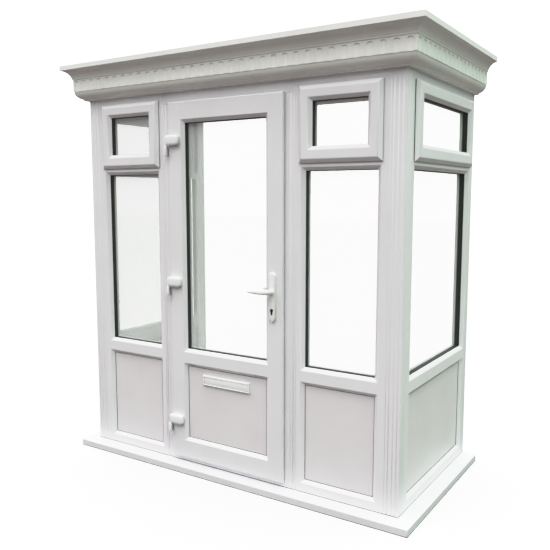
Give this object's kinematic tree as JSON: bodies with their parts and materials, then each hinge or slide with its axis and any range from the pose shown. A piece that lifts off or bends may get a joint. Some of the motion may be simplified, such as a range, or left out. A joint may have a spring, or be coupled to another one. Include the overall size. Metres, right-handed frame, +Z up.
{
  "type": "entrance porch",
  "caption": "White lean-to entrance porch: glazed front and sides over low panels, outward-opening front door, top vents, flat roof with a fluted cornice, open to the house.",
  "frame": {"origin": "centre of the bounding box's footprint, at the underside of the cill", "axes": "+X to the right along the front seen from outside, +Y from the front towards the house wall, +Z up"},
  "size_m": [2.238, 1.119, 2.31],
  "materials": {
    "white_plastic": "smooth semi-gloss",
    "infill_panel": "smooth semi-gloss",
    "white_moulding": "smooth gel coat",
    "coated_metal": "white powder coat",
    "glass": "clear",
    "steel": "satin",
    "rubber": "matt",
    "timber": "sawn"
  },
  "bodies": {
    "porch": {"cill_front": "white_plastic", "cill_left": "white_plastic", "cill_right": "white_plastic", "corner_post_left": "white_plastic", "corner_post_right": "white_plastic", "frame_front_left": "white_plastic", "frame_front_right": "white_plastic", "frame_side_left": "white_plastic", "frame_side_right": "white_plastic", "wall_jambs": "white_plastic", "door_jamb_left": "white_plastic", "door_jamb_right": "white_plastic", "door_head": "white_plastic", "door_threshold": "white_plastic", "vent_front_left": "white_plastic", "vent_front_right": "white_plastic", "vent_side_left": "white_plastic", "vent_side_right": "white_plastic", "vent_seals": "rubber", "glass_front": "glass", "glass_side_left": "glass", "glass_side_right": "glass", "panels_front": "infill_panel", "panel_side_left": "infill_panel", "panel_side_right": "infill_panel", "beads_front": "white_plastic", "beads_side_left": "white_plastic", "beads_side_right": "white_plastic", "cornice_front": "white_moulding", "cornice_left": "white_moulding", "cornice_right": "white_moulding", "roof_deck": "white_moulding", "ceiling": "white_plastic", "wall_plate": "timber", "hinge_frame_parts": "coated_metal"},
    "door": {"door_leaf": "white_plastic", "door_glass": "glass", "door_panel": "infill_panel", "door_beads": "white_plastic", "lock_strip": "steel", "lock_cylinder": "steel", "handle_plates": "coated_metal", "letterplates": "coated_metal", "hinge_door_parts": "coated_metal"},
    "lever": {"levers": "coated_metal", "spindle": "steel"},
    "letter_flap": {"letter_flap": "coated_metal"}
  },
  "joints": [
    {"name": "door_hinge", "type": "hinge", "parent": "porch", "child": "door", "pos_m": [-0.374, -0.4805, 1.0655], "axis": [0, 0, -1], "range_deg": [0, 90]},
    {"name": "lever_turn", "type": "hinge", "parent": "door", "child": "lever", "pos_m": [0.312, -0.4325, 1.07], "axis": [0, -1, 0], "range_deg": [0, 35], "stiffness_Nm_per_rad": 1.2, "springref_deg": -45.84},
    {"name": "letter_flap_hinge", "type": "hinge", "parent": "door", "child": "letter_flap", "pos_m": [0, -0.4495, 0.5525], "axis": [-1, 0, 0], "range_deg": [0, 75], "stiffness_Nm_per_rad": 0.05, "springref_deg": -28.65}
  ]
}
